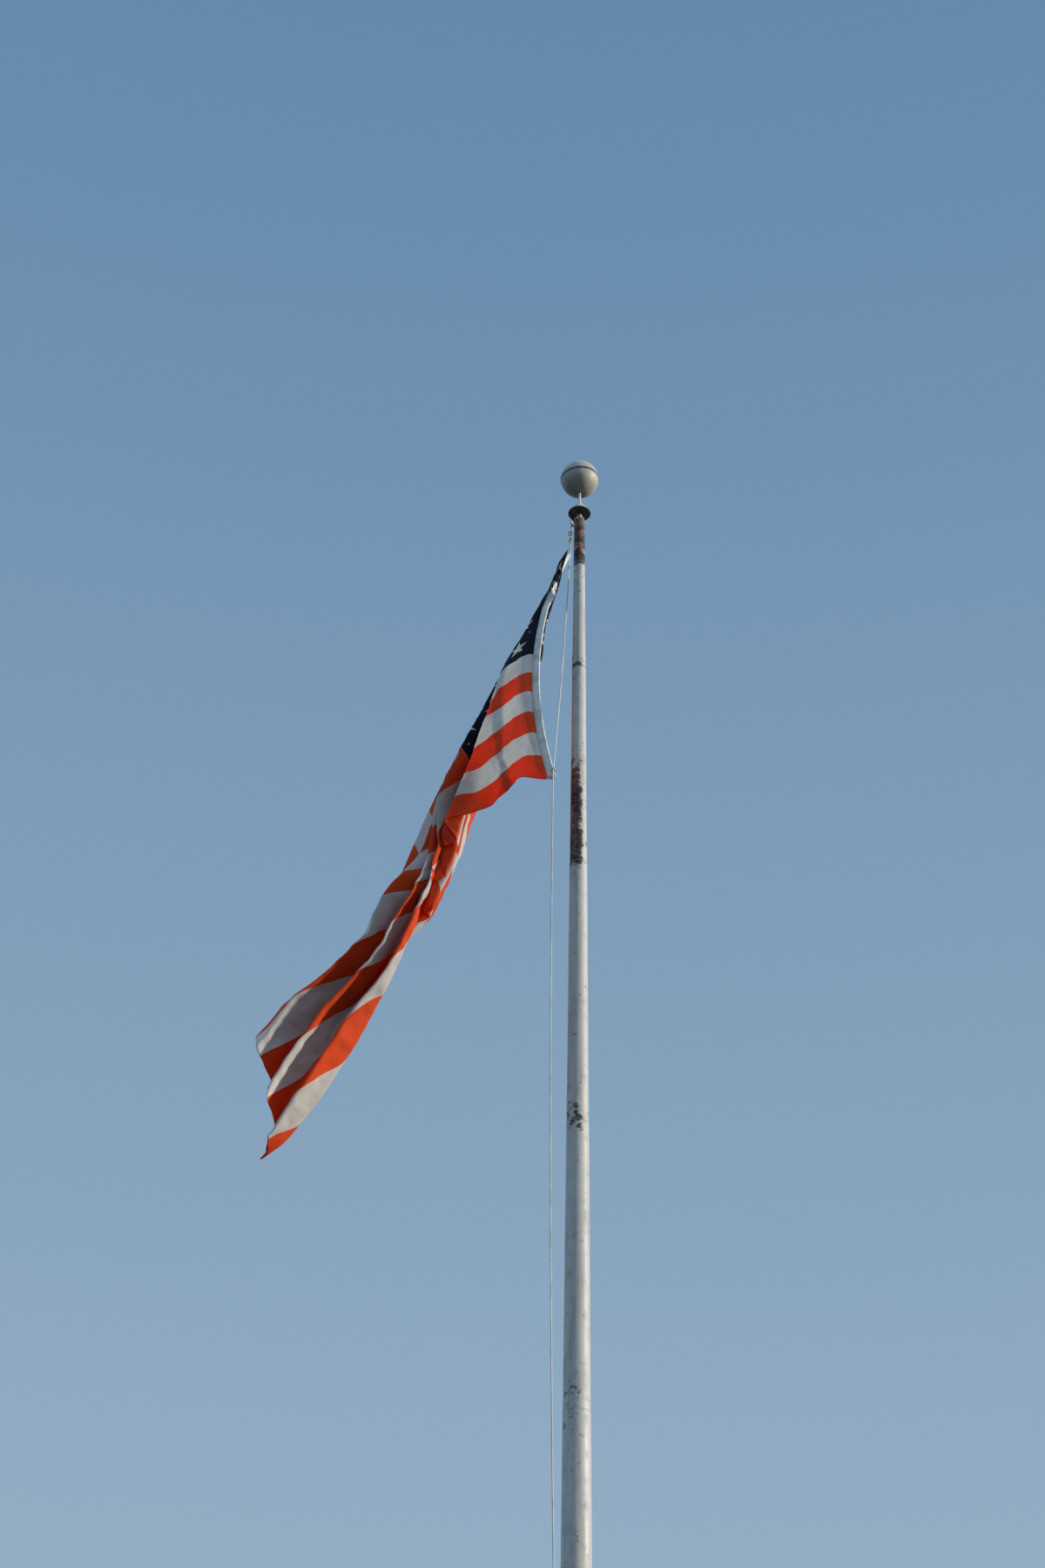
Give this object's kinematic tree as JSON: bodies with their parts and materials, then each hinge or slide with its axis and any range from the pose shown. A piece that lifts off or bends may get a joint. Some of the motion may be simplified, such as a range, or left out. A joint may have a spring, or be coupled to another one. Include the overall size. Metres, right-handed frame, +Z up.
{
  "type": "flagpole",
  "caption": "Tapered steel flagpole on a bolted base flange, with a turning truck, a ball on top, a halyard and a large striped flag.",
  "frame": {"origin": "centre of the base flange's underside, at ground level", "axes": "+Z up along the pole; the flag streams towards -X and a little +Y"},
  "size_m": [2.5616, 1.4629, 15.8448],
  "materials": {
    "pole_paint": "weathered white paint with rust and dirt at the seams",
    "weld_steel": "stained weld bead",
    "zinc_steel": "dull galvanised steel",
    "cast_metal": "rough cast, weathered",
    "truck_paint": "dark weathered paint",
    "ball_shell": "pale weathered paint on spun metal",
    "rope": "braided cord",
    "snap_bronze": "worn cast bronze",
    "canvas": "white canvas with a sewn-in rope",
    "navy_cloth": "dark blue woven cloth with sewn stars",
    "red_cloth": "red woven cloth",
    "white_cloth": "white woven cloth"
  },
  "bodies": {
    "pole": {"base_flange": "pole_paint", "base_socket": "pole_paint", "base_gussets": "pole_paint", "pole_section_1": "pole_paint", "pole_section_2": "pole_paint", "pole_section_3": "pole_paint", "pole_section_4": "pole_paint", "pole_section_5": "pole_paint", "pole_section_6": "pole_paint", "pole_section_7": "pole_paint", "pole_section_8": "pole_paint", "seam_welds": "weld_steel", "pole_band": "pole_paint", "pole_top_plug": "zinc_steel", "front_cleat": "cast_metal", "rear_cleat": "cast_metal", "cleat_screws": "zinc_steel", "halyard_tails": "rope"},
    "truck": {"truck_hub": "zinc_steel", "truck_cap": "truck_paint", "sheave_cheeks": "cast_metal", "sheave": "cast_metal", "sheave_pin": "zinc_steel", "ball_rod": "zinc_steel", "ball_lock_nut": "zinc_steel", "ball_lower_half": "ball_shell", "ball_upper_half": "ball_shell", "halyard_flag_fall": "rope", "halyard_return_fall": "rope", "top_snap": "snap_bronze", "bottom_snap": "snap_bronze", "heading_thimbles": "zinc_steel", "flag_heading": "canvas", "flag_canton": "navy_cloth", "flag_red_stripes": "red_cloth", "flag_white_stripes": "white_cloth"}
  },
  "joints": [
    {"name": "truck_swivel", "type": "hinge", "parent": "pole", "child": "truck", "pos_m": [0, 0, 15.28], "axis": [0, 0, 1], "range_deg": [-180, 180]}
  ]
}
